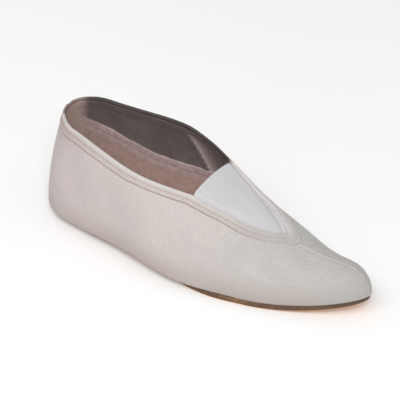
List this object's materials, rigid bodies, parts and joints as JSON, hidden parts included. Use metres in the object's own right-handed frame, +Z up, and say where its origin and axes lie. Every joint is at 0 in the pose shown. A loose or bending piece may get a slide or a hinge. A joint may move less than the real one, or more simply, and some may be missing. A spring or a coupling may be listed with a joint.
{
  "type": "gymnastics slipper",
  "caption": "Low slip-on gymnastics slipper with a soft white upper, bound collar, elastic wedge at the throat, toe seam and thin flat ribbed rubber sole.",
  "frame": {"origin": "centre of the shoe's outline on the plane it stands on", "axes": "+X towards the toe, +Y towards the inner side of the foot, +Z up"},
  "size_m": [0.23, 0.088, 0.0695],
  "materials": {
    "sole_rubber": "matt ochre rubber with fine cross ribs",
    "upper_leather": "soft white leather with a fine grain",
    "gore_elastic": "white woven elastic",
    "insole_lining": "mauve brushed lining"
  },
  "bodies": {
    "root": {"outsole": "sole_rubber", "upper": "upper_leather", "gore": "gore_elastic", "insole": "insole_lining"}
  },
  "joints": []
}
